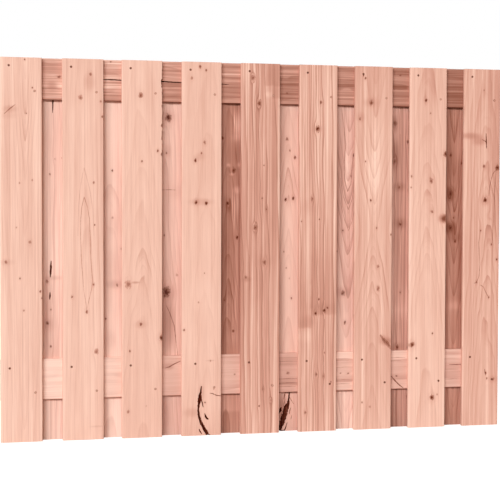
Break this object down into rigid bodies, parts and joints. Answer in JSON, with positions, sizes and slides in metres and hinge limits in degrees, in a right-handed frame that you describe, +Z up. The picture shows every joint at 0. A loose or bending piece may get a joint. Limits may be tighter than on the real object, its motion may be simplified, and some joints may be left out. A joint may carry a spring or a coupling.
{
  "type": "fence panel",
  "caption": "Upright softwood fence panel: boards on both sides of two level rails, the rear boards covering the gaps between the front ones, held with sunk screws.",
  "frame": {"origin": "on the ground under the middle of the panel", "axes": "+X along the panel to the right, the front faces -Y, +Z up"},
  "size_m": [1.8, 0.048, 1.3],
  "materials": {
    "pale_softwood": "planed, unpainted",
    "red_softwood": "planed, unpainted",
    "screw_steel": "dark brown"
  },
  "bodies": {
    "root": {"front_board_1": "pale_softwood", "front_board_2": "pale_softwood", "front_board_3": "pale_softwood", "front_board_4": "pale_softwood", "front_board_5": "red_softwood", "front_board_6": "red_softwood", "front_board_7": "pale_softwood", "front_board_8": "pale_softwood", "front_board_9": "red_softwood", "rear_board_1": "pale_softwood", "rear_board_2": "pale_softwood", "rear_board_3": "pale_softwood", "rear_board_4": "red_softwood", "rear_board_5": "pale_softwood", "rear_board_6": "pale_softwood", "rear_board_7": "red_softwood", "rear_board_8": "red_softwood", "top_rail": "red_softwood", "bottom_rail": "pale_softwood", "front_screws": "screw_steel", "rear_screws": "screw_steel"}
  },
  "joints": []
}
